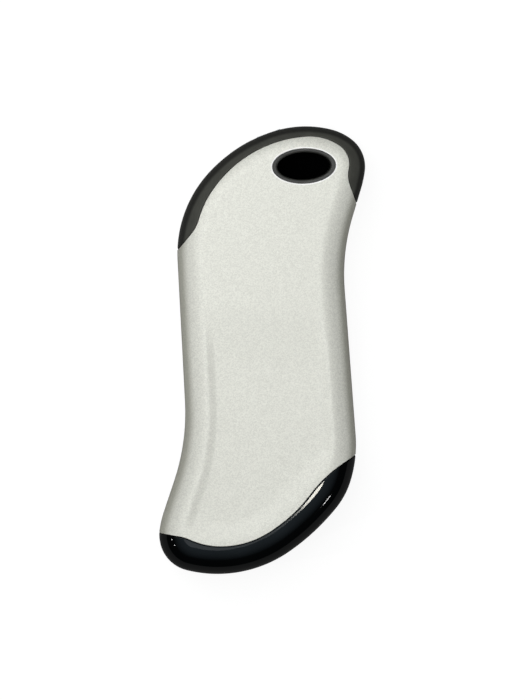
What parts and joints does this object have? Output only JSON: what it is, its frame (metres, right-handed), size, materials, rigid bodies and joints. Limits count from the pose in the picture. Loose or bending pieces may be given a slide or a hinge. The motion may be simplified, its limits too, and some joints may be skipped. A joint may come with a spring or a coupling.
{
  "type": "rechargeable hand warmer",
  "caption": "Slim S-curved pocket hand warmer with satin aluminium shells, black end caps, an oval lanyard eyelet, a side power button and charging sockets.",
  "frame": {"origin": "on the rear face, under the middle of the bounding box", "axes": "+Z out of the front face, +Y towards the head with the eyelet, +X to the right seen from the front"},
  "size_m": [0.0572, 0.1246, 0.026],
  "materials": {
    "satin_aluminium": "satin bead-blasted, clear anodised",
    "cap_satin": "satin moulded",
    "cap_gloss": "high gloss moulded",
    "eyelet_trim": "satin moulded",
    "button_plastic": "fine matt",
    "clear_lens": "clear, frosted at the tips",
    "led_package": "moulded",
    "plated_steel": "bright nickel plate",
    "black_insulator": "moulded",
    "contact_metal": "gold flash",
    "board_laminate": "solder mask",
    "chip_resin": "moulded",
    "ferrite": "pressed",
    "capacitor_body": "fired",
    "cell_wrap": "shrink sleeve",
    "fibre_ring": "pressed fibre",
    "nickel_strip": "rolled",
    "lead_red": "silicone",
    "lead_black": "silicone",
    "lead_white": "silicone",
    "heater_film": "polyimide",
    "foam": "closed cell foam",
    "sensor_bead": "epoxy",
    "chassis_plastic": "moulded"
  },
  "bodies": {
    "case": {"front_shell": "satin_aluminium", "rear_shell": "satin_aluminium", "head_cap": "cap_satin", "base_cap": "cap_gloss", "eyelet_front": "eyelet_trim", "eyelet_rear": "eyelet_trim", "switch_body": "black_insulator", "indicator_lens": "clear_lens", "indicator_leds": "led_package", "usb_a_shell": "plated_steel", "usb_a_tongue": "black_insulator", "usb_a_contacts": "contact_metal", "charge_port_shell": "plated_steel", "charge_port_tongue": "black_insulator", "main_board": "board_laminate", "control_chips": "chip_resin", "inductor": "ferrite", "capacitors": "capacitor_body", "board_screws": "plated_steel", "cell_left": "cell_wrap", "cell_right": "cell_wrap", "cell_insulators": "fibre_ring", "cell_tab_top": "nickel_strip", "cell_tab_bottom": "nickel_strip", "battery_lead_positive": "lead_red", "battery_lead_negative": "lead_black", "heater_leads": "lead_white", "front_heater": "heater_film", "rear_heater": "heater_film", "front_insulation": "foam", "rear_insulation": "foam", "thermistor": "sensor_bead", "chassis_front": "chassis_plastic", "chassis_rear": "chassis_plastic", "chassis_screws": "plated_steel"},
    "button": {"power_button": "button_plastic", "switch_plunger": "black_insulator"}
  },
  "joints": [
    {"name": "power_button_press", "type": "slide", "parent": "case", "child": "button", "axis": [0.524, -0.8517, 0], "range_m": [0, 0.0004], "stiffness_N_per_m": 2500}
  ]
}
